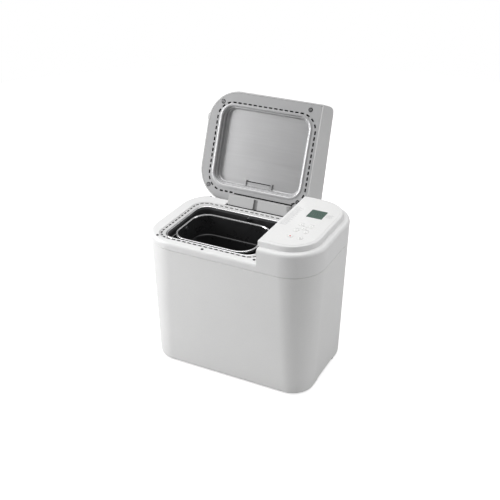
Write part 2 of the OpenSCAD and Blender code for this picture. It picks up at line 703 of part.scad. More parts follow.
module lid_dish() {
    color("#c4c6c8") open_lid() {
        difference() {
            union() {
                slab(dish_x0 - 6, dish_x1 + 6, dish_y0 - 6, dish_y1 + 6, dish_corner + 6, lid_plane - 0.8, lid_plane);
                slab(dish_x0 - 1, dish_x1 + 1, dish_y0 - 1, dish_y1 + 1, dish_corner + 1, lid_plane - 0.8,
                    lid_plane + dish_depth);
            }
            slab(dish_x0, dish_x1, dish_y0, dish_y1, dish_corner, lid_plane - 2, lid_plane + dish_depth - 1);
            box([-80, 62, 300], [-24, 73, 330]);
        }
        // turned-down tabs at the two ends of the vent
        for (x = [-84, -22]) box([x, 60, lid_plane + dish_depth - 4], [x + 2, 75, lid_plane + dish_depth - 0.5]);
    }
}
module lid_vent() {
    sheet = lid_plane + dish_depth;
    color("#9fa1a3") open_lid() {
        // cover plate that leaves a slit on its front side
        box([-79.7, 64, sheet - 1.6], [-24.3, 72.8, sheet - 0.4]);
        // steam duct behind the dish, and the two webs that hold the plate
        difference() {
            box([-83, 59, sheet], [-21, 76, sheet + 8]);
            box([-80, 62, sheet - 1], [-24, 73, sheet + 9]);
        }
        for (x = [-79.7, -26.3]) {
            box([x, 64, sheet - 0.5], [x + 2, 72.6, sheet + 2]);
            box([x, 70, sheet], [x + 2, 74, sheet + 2]);
        }
    }
}
lug_depth = 27;          // how far the lug hangs below the closed lid
module lid_lug() {
    color("#b4b6b8") open_lid() difference() {
        box([-99.5, 95, lid_plane - lug_depth], [38.5, 117, lid_plane]);
        box([-38, 90, 260], [-29, 98, lid_plane - 3]);
        translate([-120, hinge_y, hinge_z]) rotate([0, 90, 0]) cylinder(h = 180, r = pin_radius + 0.06);
    }
}
module lid_tab() {
    color("#cfd0d0") open_lid() box([lid_left - 5.5, tab_y - 7, lid_plane + 6], [lid_left + 1.5, tab_y + 7, lid_plane + 14]);
}

// ---- Hinge ----
module hinge_bracket() {
    color("#a4a7aa") difference() {
        union() {
            for (x = [-107, 43]) {
                box([x, 84.5, 262], [x + 3.5, 117, 285]);
                box([x, 84.5, 262], [x + 3.5, 104, deck_z - 3.2]);
                translate([x, hinge_y, hinge_z]) rotate([0, 90, 0]) cylinder(h = 3.5, r = 5.2);
                box([x, hinge_y - 5, 280], [x + 3.5, hinge_y + 3.5, hinge_z]);
            }
            box([-107, 84.5, 259.5], [46.5, 117, 262]);
            box([-124, 84.5, deck_z - 5.6], [-103.5, 104, deck_z - 3.2]);
            box([43, 84.5, deck_z - 5.6], [63, 104, deck_z - 3.2]);
        }
        translate([-120, hinge_y, hinge_z]) rotate([0, 90, 0]) cylinder(h = 180, r = pin_radius + 0.02);
    }
}
module hinge_pin() {
    color("#d0d3d6") translate([-109, hinge_y, hinge_z]) rotate([0, 90, 0]) cylinder(h = 157.5, r = pin_radius);
}

base_plate();
rubber_feet();
base_screws();
lower_housing();
top_frame();
deck_bumpers();
panel_cap();
panel_overlay();
lcd_window();
lcd_module();
control_board();
deck_ring();
chamber();
chamber_rim();
heating_element();
heater_clips();
temperature_sensor();
pan_seat();
chassis();
bearing_housing();
bearing_bushes();
motor();
motor_screws();
drive_belt();
power_board();
cord_gland();
hinge_bracket();
hinge_pin();
drive_shaft();
large_pulley();
drive_coupling();
motor_shaft();
small_pulley();
bread_pan();
pan_foot();
pan_bearing();
handle_pivots();
pan_handle();
kneading_shaft();
driven_coupling();
kneading_blade();
lid_shell();
lid_frame();
lid_dish();
lid_vent();
lid_lug();
lid_screws();
lid_tab();
start_key();
stop_key();
menu_key();
size_key();
crust_key();
timer_up_key();
timer_down_key();
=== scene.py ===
import bpy
import bmesh
import json
import math
from mathutils import Matrix, Vector


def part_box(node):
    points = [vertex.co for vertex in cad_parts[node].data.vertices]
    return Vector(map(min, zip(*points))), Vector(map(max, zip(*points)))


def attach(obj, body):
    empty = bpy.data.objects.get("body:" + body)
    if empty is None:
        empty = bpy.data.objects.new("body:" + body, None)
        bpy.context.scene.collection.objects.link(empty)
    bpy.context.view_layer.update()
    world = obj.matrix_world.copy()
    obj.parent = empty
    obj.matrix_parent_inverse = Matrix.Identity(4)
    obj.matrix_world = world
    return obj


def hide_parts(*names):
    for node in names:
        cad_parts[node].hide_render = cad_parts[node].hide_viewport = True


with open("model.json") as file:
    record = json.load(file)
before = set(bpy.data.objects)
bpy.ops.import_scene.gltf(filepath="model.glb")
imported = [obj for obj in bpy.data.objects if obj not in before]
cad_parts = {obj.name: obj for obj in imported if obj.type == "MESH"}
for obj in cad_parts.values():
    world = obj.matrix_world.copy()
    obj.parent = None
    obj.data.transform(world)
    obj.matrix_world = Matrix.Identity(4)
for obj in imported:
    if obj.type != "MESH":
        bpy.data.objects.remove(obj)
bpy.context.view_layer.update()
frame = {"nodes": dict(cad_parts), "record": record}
NODES = frame["nodes"]

# Shared sizes, in metres in the shared frame
LOW_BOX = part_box("lower_housing")
TOP_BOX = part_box("top_frame")
CAP_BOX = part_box("panel_cap")
PAN_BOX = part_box("bread_pan")
CHAMBER_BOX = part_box("chamber")
RING_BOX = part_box("deck_ring")
DECK_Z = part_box("chamber_rim")[1].z
SEAM_Z = LOW_BOX[1].z
SHOULDER_Z = TOP_BOX[1].z
PANEL_Z = CAP_BOX[1].z
FOOT_Z = LOW_BOX[0].z
SPLIT_X = 0.077
CAP_X = CAP_BOX[0].x
WALL = 0.003
BASE_HALF = (0.179, 0.111, 0.048)
TOP_HALF = (0.192, 0.127, 0.076)
TAPER_TOP = 0.330
ARC = 14

KEYS = ["start_key", "stop_key", "menu_key", "size_key", "crust_key", "timer_up_key", "timer_down_key"]
# One display digit: each bar's centre and half sizes
DIGIT = [(0, 0.0052, 0.0017, 0.0004), (0, -0.0052, 0.0017, 0.0004),
         (-0.0023, 0.0026, 0.0004, 0.0021), (0.0023, 0.0026, 0.0004, 0.0021),
         (-0.0023, -0.0026, 0.0004, 0.0021), (0.0023, -0.0026, 0.0004, 0.0021)]

# Lid, drawn closed and then turned open about its pin
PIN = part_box("hinge_pin")
HINGE_Y = (PIN[0].y + PIN[1].y) / 2
HINGE_Z = (PIN[0].z + PIN[1].z) / 2
LID_PLANE = 0.2972
LID_BACK = 0.115
LID_DEPTH = 0.241
LID_FRONT = LID_BACK - LID_DEPTH
LID_LEFT = -0.191
LID_RIGHT = 0.0715
LID_CORNER = 0.071
LID_RISE = (0.066, 0.086)
LID_OPEN = math.radians(-110.8)
LID_SCREWS = [(-0.1605, -0.0995), (0.044, -0.111), (-0.166, 0.085), (0.050, 0.085)]
LUG = (-0.0995, 0.0385, 0.095, 0.117, 0.027)
DISH = (-0.157, 0.049, -0.094, 0.078, 0.026, 0.016)
HINGE = Matrix.Translation((0, HINGE_Y, HINGE_Z))
OPEN = HINGE @ Matrix.Rotation(LID_OPEN, 4, "X") @ Matrix.Translation((0, -HINGE_Y, -HINGE_Z))


# ---- Building blocks ----
def ring(x0, x1, y0, y1, left_r, right_r, z, rise=0.0):
    """One rounded outline: its sides, corner radii, height at y0, and how much higher it is at y1."""
    return {"x": (x0, x1), "y": (y0, y1), "r": (left_r, right_r), "z": z, "rise": rise}


def corner_of(level, right, back):
    r = level["r"][1 if right else 0]
    x = level["x"][1] - r if right else level["x"][0] + r
    y = level["y"][1] - r if back else level["y"][0] + r
    return Vector((x, y)), r


def first_face(bm, level):
    """A flat face with the outline's shape."""
    made = bmesh.ops.create_grid(bm, x_segments=1, y_segments=1, size=1)
    corners = made["verts"]
    for v in corners:
        v.co.x = level["x"][1] if v.co.x > 0 else level["x"][0]
        v.co.y = level["y"][1] if v.co.y > 0 else level["y"][0]
    middle = (level["x"][0] + level["x"][1]) / 2
    sides = [[v for v in corners if v.co.x < middle], [v for v in corners if v.co.x > middle]]
    for side, radius in zip(sides, level["r"]):
        bmesh.ops.bevel(bm, geom=side, offset=radius, offset_type="OFFSET", segments=ARC, profile=0.5,
                        affect="VERTICES", material=-1)
    set_height(bm.verts, level)
    return bm.faces[:][0]


def set_height(verts, level):
    span = level["y"][1] - level["y"][0]
    for v in verts:
        v.co.z = level["z"] + level["rise"] * (v.co.y - level["y"][0]) / span


def to_level(verts, old, new):
    """Moves the vertices of one outline to the next."""
    mid_x = (old["x"][0] + old["x"][1]) / 2
    mid_y = (old["y"][0] + old["y"][1]) / 2
    for v in verts:
        right, back = v.co.x > mid_x, v.co.y > mid_y
        c0, r0 = corner_of(old, right, back)
        c1, r1 = corner_of(new, right, back)
        v.co.x, v.co.y = c1 + (Vector((v.co.x, v.co.y)) - c0) * (r1 / r0)
    set_height(verts, new)


def loft(levels, closed=True):
    """A skin through a stack of outlines. With closed=False the first outline is left open."""
    bm = bmesh.new()
    face = first_face(bm, levels[0])
    start = face
    for old, new in zip(levels, levels[1:]):
        made = bmesh.ops.extrude_face_region(bm, geom=[face])
        if face is not start and face.is_valid:
            bmesh.ops.delete(bm, geom=[face], context="FACES_ONLY")
        face = [g for g in made["geom"] if isinstance(g, bmesh.types.BMFace)][0]
        to_level(face.verts, old, new)
    if not closed:
        bmesh.ops.delete(bm, geom=[start], context="FACES_ONLY")
    bmesh.ops.recalc_face_normals(bm, faces=bm.faces[:])
    return bm


def box_bm(low, high):
    bm = bmesh.new()
    size = Vector(high) - Vector(low)
    middle = (Vector(high) + Vector(low)) / 2
    bmesh.ops.create_cube(bm, size=1, matrix=Matrix.Translation(middle) @ Matrix.Diagonal((*size, 1)))
    return bm


def post_bm(x, y, r, z0, z1, turn=None, segments=48):
    bm = bmesh.new()
    place = Matrix.Translation((x, y, (z0 + z1) / 2)) if turn is None else turn
    bmesh.ops.create_cone(bm, cap_ends=True, segments=segments, radius1=r, radius2=r, depth=abs(z1 - z0),
                          matrix=place)
    return bm


def to_object(bm, name):
    mesh = bpy.data.meshes.new(name)
    bm.to_mesh(mesh)
    bm.free()
    made = bpy.data.objects.new(name, mesh)
    bpy.context.scene.collection.objects.link(made)
    return made


def boolean(target, tools, operation="DIFFERENCE"):
    """Cuts the tools from the target, or joins them to it, and keeps the result as its mesh."""
    for bm in tools:
        tool = to_object(bm, "tool")
        modifier = target.modifiers.new("cut", "BOOLEAN")
        modifier.operation = operation
        modifier.solver = "EXACT"
        modifier.object = tool
        graph = bpy.context.evaluated_depsgraph_get()
        mesh = bpy.data.meshes.new_from_object(target.evaluated_get(graph))
        target.modifiers.clear()
        target.data = mesh
        bpy.data.objects.remove(tool)
    return target


def smooth(target, angle=32):
    """Smooth shading that stays crisp at edges sharper than the angle."""
    bm = bmesh.new()
    bm.from_mesh(target.data)
    bmesh.ops.remove_doubles(bm, verts=bm.verts[:], dist=1e-6)
    bmesh.ops.dissolve_degenerate(bm, dist=1e-6, edges=bm.edges[:])
    for f in bm.faces:
        f.smooth = True
    for e in bm.edges:
        e.smooth = len(e.link_faces) == 2 and e.calc_face_angle(0) < math.radians(angle)
    bm.to_mesh(target.data)
    bm.free()
    return target


def soften(target, width, segments=3, angle=34):
    """Rounds the sharp edges and evens the normals of flat faces beside them."""
    bevel = target.modifiers.new("soft_edges", "BEVEL")
    bevel.width = width
    bevel.segments = segments
    bevel.limit_method = "ANGLE"
    bevel.angle_limit = math.radians(angle)
    bevel.harden_normals = False
    bevel.miter_outer = "MITER_ARC"
    evened = target.modifiers.new("even_normals", "WEIGHTED_NORMAL")
    evened.keep_sharp = False
    evened.weight = 80
    return target


def finish_piece(target, body, nodes, mat):
    for m in (mat if isinstance(mat, list) else [mat]):
        target.data.materials.append(m)
    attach(target, body)
    if nodes:
        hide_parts(*nodes)
    return target


def paint_inside_shade(target, middle, lowest, slot=1):
    """Second material on the faces above a height that look towards the middle: painted shade, so that slots
    and hollows read dark as if in shadow.
    """
    for face in target.data.polygons:
        inward = face.normal.dot(face.center - middle) < -0.0005
        face.material_index = slot if inward and face.center.z > lowest else 0
    return target


def shell(target, thickness, offset=-1.0):
    """Gives a skin its sheet thickness."""
    solid = target.modifiers.new("sheet", "SOLIDIFY")
    solid.thickness = thickness
    solid.offset = offset
    graph = bpy.context.evaluated_depsgraph_get()
    mesh = bpy.data.meshes.new_from_object(target.evaluated_get(graph))
    target.modifiers.clear()
    target.data = mesh
    return target


def quarter(a, b, steps=6):
    """(offset, height) points of a quarter round from a to b, which leaves a upright and meets b level."""
    out = []
    for i in range(1, steps + 1):
        t = math.pi / 2 * i / steps
        out.append((a[0] + (b[0] - a[0]) * (1 - math.cos(t)), a[1] + (b[1] - a[1]) * math.sin(t)))
    return out


def quarter_level(a, b, steps=6):
    """As quarter, but it leaves a level and meets b upright."""
    out = []
    for i in range(1, steps + 1):
        t = math.pi / 2 * i / steps
        out.append((a[0] + (b[0] - a[0]) * math.sin(t), a[1] + (b[1] - a[1]) * (1 - math.cos(t))))
    return out


def body_ring(z, inset):
    share = z / TAPER_TOP
    hx, hy, r = [a + (b - a) * share - inset for a, b in zip(BASE_HALF, TOP_HALF)]
    return ring(-hx, hx, -hy, hy, r, r, z)


def body_loft(points):
    """A solid through (inset, height) pairs of the housing's tapered outline."""
    return loft([body_ring(z, inset) for inset, z in points])


def centred(box, inset, z, radius):
    """An outline set in from a box, with its own corner radius."""
    low, high = box
    return ring(low.x + inset, high.x - inset, low.y + inset, high.y - inset, radius, radius, z)


# ---- Shader helpers ----
def group(name, inputs, outputs):
    tree = bpy.data.node_groups.new(name, "ShaderNodeTree")
    for label, kind, value in inputs:
        made = tree.interface.new_socket(name=label, in_out="INPUT", socket_type=kind)
        made.default_value = value
    for label, kind in outputs:
        tree.interface.new_socket(name=label, in_out="OUTPUT", socket_type=kind)
    return tree, tree.nodes.new("NodeGroupInput"), tree.nodes.new("NodeGroupOutput")


def noise(tree, scale, detail=4.0, rough=0.55, stretch=None, coord=None):
    """Noise in object space, with the places it reads stretched along each axis if asked."""
    coords = tree.nodes.new("ShaderNodeTexCoord") if coord is None else None
    source = coords.outputs["Object"] if coord is None else coord
    if stretch is not None:
        mapping = tree.nodes.new("ShaderNodeMapping")
        mapping.inputs["Scale"].default_value = stretch
        tree.links.new(source, mapping.inputs["Vector"])
        source = mapping.outputs["Vector"]
    made = tree.nodes.new("ShaderNodeTexNoise")
    made.inputs["Scale"].default_value = scale
    made.inputs["Detail"].default_value = detail
    made.inputs["Roughness"].default_value = rough
    tree.links.new(source, made.inputs["Vector"])
    return made.outputs["Fac"]


def remap(tree, value, low, high, from_low=0.3, from_high=0.7):
    node = tree.nodes.new("ShaderNodeMapRange")
    node.inputs["From Min"].default_value = from_low
    node.inputs["From Max"].default_value = from_high
    node.inputs["To Min"].default_value = low
    node.inputs["To Max"].default_value = high
    tree.links.new(value, node.inputs["Value"])
    return node.outputs["Result"]


def math_node(tree, operation, a, b):
    node = tree.nodes.new("ShaderNodeMath")
    node.operation = operation
    for i, v in enumerate((a, b)):
        if isinstance(v, (int, float)):
            node.inputs[i].default_value = v
        else:
            tree.links.new(v, node.inputs[i])
    return node.outputs[0]


def tinted(tree, colour, factor):
    """The colour times a factor."""
    node = tree.nodes.new("ShaderNodeVectorMath")
    node.operation = "SCALE"
    tree.links.new(colour, node.inputs[0])
    tree.links.new(factor, node.inputs["Scale"])
    return node.outputs["Vector"]


COMMON_OUT = [("Color", "NodeSocketColor"), ("Roughness", "NodeSocketFloat"), ("Height", "NodeSocketFloat")]


def moulded_group():
    """Injection-moulded plastic: spark-eroded grain, slow flow shading and faint rub marks."""
    tree, ins, outs = group("moulded", [("Color", "NodeSocketColor", (0.8, 0.8, 0.8, 1)),
                                        ("Roughness", "NodeSocketFloat", 0.4),
                                        ("Tone", "NodeSocketFloat", 0.02)], COMMON_OUT)
    flow = noise(tree, 9, 3)
    grain = noise(tree, 1500, 2, 0.5)
    rub = noise(tree, 60, 5, 0.7)
    speck = noise(tree, 420, 2, 0.5)
    spread = math_node(tree, "MULTIPLY", remap(tree, flow, -1, 1), ins.outputs["Tone"])
    tone = math_node(tree, "ADD", spread, 1.0)
    fine = math_node(tree, "ADD", tone, remap(tree, speck, -0.012, 0.012))
    tree.links.new(tinted(tree, ins.outputs["Color"], fine), outs.inputs["Color"])
    rough = math_node(tree, "ADD", ins.outputs["Roughness"], remap(tree, rub, -0.05, 0.06))
    tree.links.new(rough, outs.inputs["Roughness"])
    relief = math_node(tree, "ADD", grain, math_node(tree, "MULTIPLY", speck, 0.4))
    tree.links.new(relief, outs.inputs["Height"])
    return tree


def brushed_group():
    """Brushed or rolled metal: long fine lines along X, with slow tone changes."""
    tree, ins, outs = group("brushed", [("Color", "NodeSocketColor", (0.7, 0.7, 0.7, 1)),
                                        ("Roughness", "NodeSocketFloat", 0.35),
                                        ("Tone", "NodeSocketFloat", 0.06)], COMMON_OUT)
    lines = noise(tree, 1, 3, 0.6, stretch=(14, 1600, 1600))
    wide = noise(tree, 1, 2, 0.5, stretch=(5, 260, 260))
    slow = noise(tree, 12, 3)
    both = math_node(tree, "ADD", math_node(tree, "MULTIPLY", remap(tree, lines, -1, 1), 0.6),
                     math_node(tree, "MULTIPLY", remap(tree, wide, -1, 1), 0.4))
    spread = math_node(tree, "MULTIPLY", both, ins.outputs["Tone"])
    cloud = math_node(tree, "ADD", spread, remap(tree, slow, 0.97, 1.03))
    tree.links.new(tinted(tree, ins.outputs["Color"], cloud), outs.inputs["Color"])
    rough = math_node(tree, "ADD", ins.outputs["Roughness"], math_node(tree, "MULTIPLY", both, 0.06))
    tree.links.new(rough, outs.inputs["Roughness"])
    tree.links.new(math_node(tree, "ADD", lines, wide), outs.inputs["Height"])
    return tree


def coated_group():
    """Sprayed coating: fine orange peel and pale flecks, with slow wear in its sheen."""
    tree, ins, outs = group("coated", [("Color", "NodeSocketColor", (0.1, 0.1, 0.1, 1)),
                                       ("Roughness", "NodeSocketFloat", 0.35),
                                       ("Fleck", "NodeSocketFloat", 0.3)], COMMON_OUT)
    peel = noise(tree, 700, 2, 0.5)
    wear = noise(tree, 30, 5, 0.65)
    flecks = tree.nodes.new("ShaderNodeTexVoronoi")
    flecks.inputs["Scale"].default_value = 650
    coords = tree.nodes.new("ShaderNodeTexCoord")
    tree.links.new(coords.outputs["Object"], flecks.inputs["Vector"])
    dots = remap(tree, flecks.outputs["Distance"], 1, 0, 0.08, 0.2)
    amount = math_node(tree, "MULTIPLY", dots, ins.outputs["Fleck"])
    tone = math_node(tree, "ADD", amount, remap(tree, wear, 0.92, 1.08))
    tree.links.new(tinted(tree, ins.outputs["Color"], tone), outs.inputs["Color"])
    rough = math_node(tree, "ADD", ins.outputs["Roughness"], remap(tree, wear, -0.06, 0.08))
    tree.links.new(rough, outs.inputs["Roughness"])
    tree.links.new(peel, outs.inputs["Height"])
    return tree


GROUPS = {"moulded": moulded_group(), "brushed": brushed_group(), "coated": coated_group()}


def material(name, kind, colour, rough, third, metallic=0.0, bump=0.02, coat=0.0, specular=0.5):
    """A material whose colour, roughness and relief come from one of the shader groups."""
    made = bpy.data.materials.new(name)
    made.use_nodes = True
    tree = made.node_tree
    shader = tree.nodes["Principled BSDF"]
    look = tree.nodes.new("ShaderNodeGroup")
    look.node_tree = GROUPS[kind]
    look.inputs["Color"].default_value = (*colour, 1)
    look.inputs["Roughness"].default_value = rough
    look.inputs[2].default_value = third
    tree.links.new(look.outputs["Color"], shader.inputs["Base Color"])
    tree.links.new(look.outputs["Roughness"], shader.inputs["Roughness"])
    relief = tree.nodes.new("ShaderNodeBump")
    relief.inputs["Strength"].default_value = bump
    relief.inputs["Distance"].default_value = 0.0005
    tree.links.new(look.outputs["Height"], relief.inputs["Height"])
    tree.links.new(relief.outputs["Normal"], shader.inputs["Normal"])
    shader.inputs["Metallic"].default_value = metallic
    shader.inputs["Coat Weight"].default_value = coat
    shader.inputs["Coat Roughness"].default_value = 0.15
    shader.inputs["Specular IOR Level"].default_value = specular
    made.diffuse_color = (*colour, 1)
    return made


# name: (shader group, colour, roughness, tone or fleck, further settings)
FINISHES = {
    "white_plastic": ("moulded", (0.77, 0.77, 0.767), 0.38, 0.012, {"bump": 0.06}),
    "top_plastic": ("moulded", (0.78, 0.78, 0.78), 0.36, 0.01, {"bump": 0.04}),
    "grey_plastic": ("moulded", (0.40, 0.40, 0.405), 0.40, 0.02, {"bump": 0.06}),
    "ring_plastic": ("moulded", (0.60, 0.60, 0.60), 0.42, 0.02, {"bump": 0.06}),
    "lid_plastic": ("moulded", (0.56, 0.56, 0.56), 0.36, 0.02, {"bump": 0.05, "coat": 0.1}),
    "overlay_film": ("moulded", (0.82, 0.82, 0.815), 0.22, 0.006, {"bump": 0.015, "coat": 0.25}),
    "key_plastic": ("moulded", (0.84, 0.84, 0.83), 0.45, 0.01, {"bump": 0.08}),
    "dark_rubber": ("moulded", (0.035, 0.035, 0.036), 0.75, 0.1, {"bump": 0.2, "specular": 0.3}),
    "black_plastic": ("moulded", (0.03, 0.03, 0.032), 0.5, 0.08, {"bump": 0.1}),
    "chamber_steel": ("coated", (0.055, 0.055, 0.057), 0.42, 0.25, {"metallic": 0.4, "bump": 0.05}),
    "non_stick": ("coated", (0.045, 0.045, 0.047), 0.30, 0.5,
                  {"metallic": 0.45, "bump": 0.05, "coat": 0.15}),
    "heater_sheath": ("coated", (0.10, 0.085, 0.075), 0.5, 0.2, {"metallic": 0.7, "bump": 0.15}),
    "bright_steel": ("brushed", (0.78, 0.78, 0.79), 0.22, 0.05, {"metallic": 1.0, "bump": 0.03}),
    "plated_steel": ("brushed", (0.55, 0.56, 0.57), 0.36, 0.06, {"metallic": 1.0, "bump": 0.06}),
    "dish_aluminium": ("brushed", (0.50, 0.50, 0.505), 0.40, 0.05, {"metallic": 0.9, "bump": 0.04}),
    "cast_aluminium": ("coated", (0.42, 0.43, 0.44), 0.48, 0.1, {"metallic": 0.9, "bump": 0.25}),
    "bronze": ("coated", (0.42, 0.27, 0.12), 0.42, 0.2, {"metallic": 1.0, "bump": 0.15}),
    "circuit_board": ("moulded", (0.02, 0.12, 0.045), 0.35, 0.1, {"bump": 0.1}),
    "lcd_lens": ("moulded", (0.062, 0.112, 0.090), 0.22, 0.03, {"bump": 0.004, "coat": 0.2}),
    "lcd_mark": ("moulded", (0.030, 0.055, 0.045), 0.3, 0.02, {"bump": 0.01}),
    "print_grey": ("moulded", (0.36, 0.36, 0.37), 0.4, 0.04, {"bump": 0.02}),
    "print_red": ("moulded", (0.55, 0.045, 0.04), 0.4, 0.04, {"bump": 0.02}),
    # painted shade: near black for inside faces, standing in for the shadow inside slots and hollows
    "painted_shade_inside": ("moulded", (0.03, 0.03, 0.03), 0.7, 0.1, {"bump": 0.1, "specular": 0.2}),
    "lug_plastic": ("moulded", (0.50, 0.50, 0.50), 0.42, 0.03, {"bump": 0.08}),
    # painted shade: a darker copy of the lug grey for the faces of its middle recess
    "lug_recess_shade": ("moulded", (0.26, 0.26, 0.26), 0.45, 0.03, {"bump": 0.08}),
    "screw_steel": ("brushed", (0.42, 0.42, 0.43), 0.25, 0.06, {"metallic": 1.0, "bump": 0.04}),
    # painted shade: near black for slot walls, gaps and recesses, where shadow falls
    "painted_shade_black": ("moulded", (0.012, 0.012, 0.012), 0.8, 0.1, {"bump": 0.05, "specular": 0.2}),
}
MATS = {name: material(name, *row[:4], **row[4]) for name, row in FINISHES.items()}


# ---- Housing ----
def lower_housing():
    r = 0.008
    foot = [(0.0032, FOOT_Z)] + [(r * 0.4 * (1 - math.sin(t)), FOOT_Z + r * (1 - math.cos(t)))
                                 for t in [math.pi / 12 * k for k in range(1, 7)]]
    groove = quarter((0, SEAM_Z - 0.0012), (0.0009, SEAM_Z - 0.0002), 4)
    outer = body_loft(foot + [(0, 0.10), (0, 0.19), (0, SEAM_Z - 0.0012)] + groove)
    made = to_object(outer, "shell_lower_housing")
    inner = body_loft([(WALL + 0.003, FOOT_Z - 0.004), (WALL, 0.014), (WALL, SEAM_Z - 0.006),
                       (WALL, SEAM_Z + 0.003)])
    grips = [box_bm((x, -0.042, -0.001), (x + 0.04, 0.042, 0.011)) for x in (-0.198, 0.158)]
    slots = [box_bm((-0.062 + 0.016 * i, 0.095, 0.050), (-0.058 + 0.016 * i, 0.135, 0.076)) for i in range(8)]
    gland_turn = Matrix.Translation((0.128, 0.115, 0.038)) @ Matrix.Rotation(math.pi / 2, 4, "X")
    gland = post_bm(0, 0, 0.0072, 0, 0.03, gland_turn)
    boolean(made, [inner, gland] + grips + slots)
    smooth(made)
    # painted shade on the inside faces, so the grips, vent slots and cable hole read dark
    paint_inside_shade(made, Vector((0, 0, SEAM_Z / 2)), FOOT_Z + 0.003)
    soften(made, 0.0006, 2)
    return finish_piece(made, "housing", ["lower_housing"],
                        [MATS["white_plastic"], MATS["painted_shade_inside"]])


def deck_points(top, radius, drop):
    """Outline of the deck or the shoulder: a small groove at the seam, the wall, and a round top edge."""
    low = [(0.0010, SEAM_Z + 0.0002)] + quarter_level((0.0010, SEAM_Z + 0.0002), (0, SEAM_Z + 0.0014), 4)
    return low + [(0, top - drop)] + quarter((0, top - drop), (radius, top), 9)


def top_frame():
    made = to_object(body_loft(deck_points(DECK_Z, 0.0055, 0.008)), "shell_top_frame")
    riser = to_object(body_loft(deck_points(SHOULDER_Z, 0.0065, 0.008)), "riser")
    boolean(riser, [box_bm((-0.3, -0.2, 0.2), (SPLIT_X, 0.2, 0.4))])
    smooth(riser, 60)
    bm = bmesh.new()
    bm.from_mesh(riser.data)
    bpy.data.objects.remove(riser)
    boolean(made, [bm], "UNION")
    hole = loft([centred(RING_BOX, -0.0004, z, 0.033) for z in (DECK_Z - 0.018, DECK_Z + 0.003)])
    hollow = body_loft([(WALL, SEAM_Z - 0.002), (WALL, DECK_Z - WALL)])
    upper = to_object(body_loft([(WALL, SEAM_Z - 0.002), (WALL, SHOULDER_Z - 0.016),
                                 (WALL + 0.009, SHOULDER_Z - WALL)]), "upper")
    boolean(upper, [box_bm((-0.3, -0.2, 0.2), (SPLIT_X + WALL, 0.2, 0.4))])
    up = bmesh.new()
    up.from_mesh(upper.data)
    bpy.data.objects.remove(upper)
    pocket = box_bm((-0.1025, 0.0834, DECK_Z - 0.020), (0.0415, 0.1125, DECK_Z + 0.002))
    step = box_bm((-0.152, 0.107, 0.284), (CAP_X + 0.001, 0.140, DECK_Z + 0.002))
    boolean(made, [hollow, up, hole, pocket, step])
    smooth(made)
    # painted shade: faces under the deck and the inner walls get the painted shade material, standing in for
    # the shadow inside the housing
    for face in made.data.polygons:
        inward = face.normal.x * face.center.x + face.normal.y * face.center.y < -0.02
        under = face.normal.z < -0.7 and face.center.z > SEAM_Z + 0.002
        on_wall = abs(face.center.y) > 0.112 or abs(face.center.x) > 0.175
        face.material_index = 1 if under or (inward and on_wall and face.center.z < DECK_Z - 0.004) else 0
    soften(made, 0.0012, 3)
    return finish_piece(made, "housing", ["top_frame"],
                        [MATS["top_plastic"], MATS["painted_shade_inside"]])


def step_floor():
    """The floor of the step under the lid's hinge edge."""
    made = to_object(body_loft([(0.0012, SEAM_Z + 0.0012), (0.0012, 0.2838)]), "step_floor")
    boolean(made, [box_bm((-0.3, -0.2, 0.2), (0.3, 0.1065, 0.4)), box_bm((-0.3, 0, 0.2), (-0.1522, 0.2, 0.4)),
                   box_bm((SPLIT_X - 0.0002, 0, 0.2), (0.3, 0.2, 0.4)),
                   box_bm((-0.108, 0.09, 0.27), (0.047, 0.1205, 0.29))])
    smooth(made)
    soften(made, 0.0004, 2)
    return finish_piece(made, "housing", [], MATS["top_plastic"])


def key_centres():
    return [(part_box(n)[0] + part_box(n)[1]) / 2 for n in KEYS]


def panel_cap():
    side = [(0.013, SHOULDER_Z + 0.0002), (0.0136, SHOULDER_Z + 0.0040), (0.0145, PANEL_Z - 0.0025)]
    top = quarter((0.0145, PANEL_Z - 0.0025), (0.0175, PANEL_Z), 8)
    made = to_object(body_loft(side + top), "shell_panel_cap")
    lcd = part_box("lcd_window")
    inner = body_loft([(0.017, SHOULDER_Z - 0.001), (0.024, PANEL_Z - 0.0025)])
    keys = [post_bm(c.x, c.y, 0.00555, SHOULDER_Z, PANEL_Z + 0.001) for c in key_centres()]
    window = box_bm((lcd[0].x - 0.0002, lcd[0].y - 0.0002, SHOULDER_Z),
                    (lcd[1].x + 0.0002, lcd[1].y + 0.0002, PANEL_Z + 0.002))
    boolean(made, [box_bm((-0.3, -0.2, 0.2), (CAP_X, 0.2, 0.4)), inner, window] + keys)
    smooth(made)
    soften(made, 0.0009, 3)
    return finish_piece(made, "housing", ["panel_cap"], MATS["top_plastic"])


# ---- Chamber and pan ----
def sheet_of(points, box, radius, name, thickness, holes=()):
    """A pressed sheet through (inset, height) pairs: open at the first, closed by a floor at the last."""
    levels = [centred(box, inset, z, max(radius - inset, 0.004)) for inset, z in points]
    made = to_object(loft(levels, closed=False), name)
    shell(made, thickness, 0)
    boolean(made, list(holes))
    return smooth(made, 30)


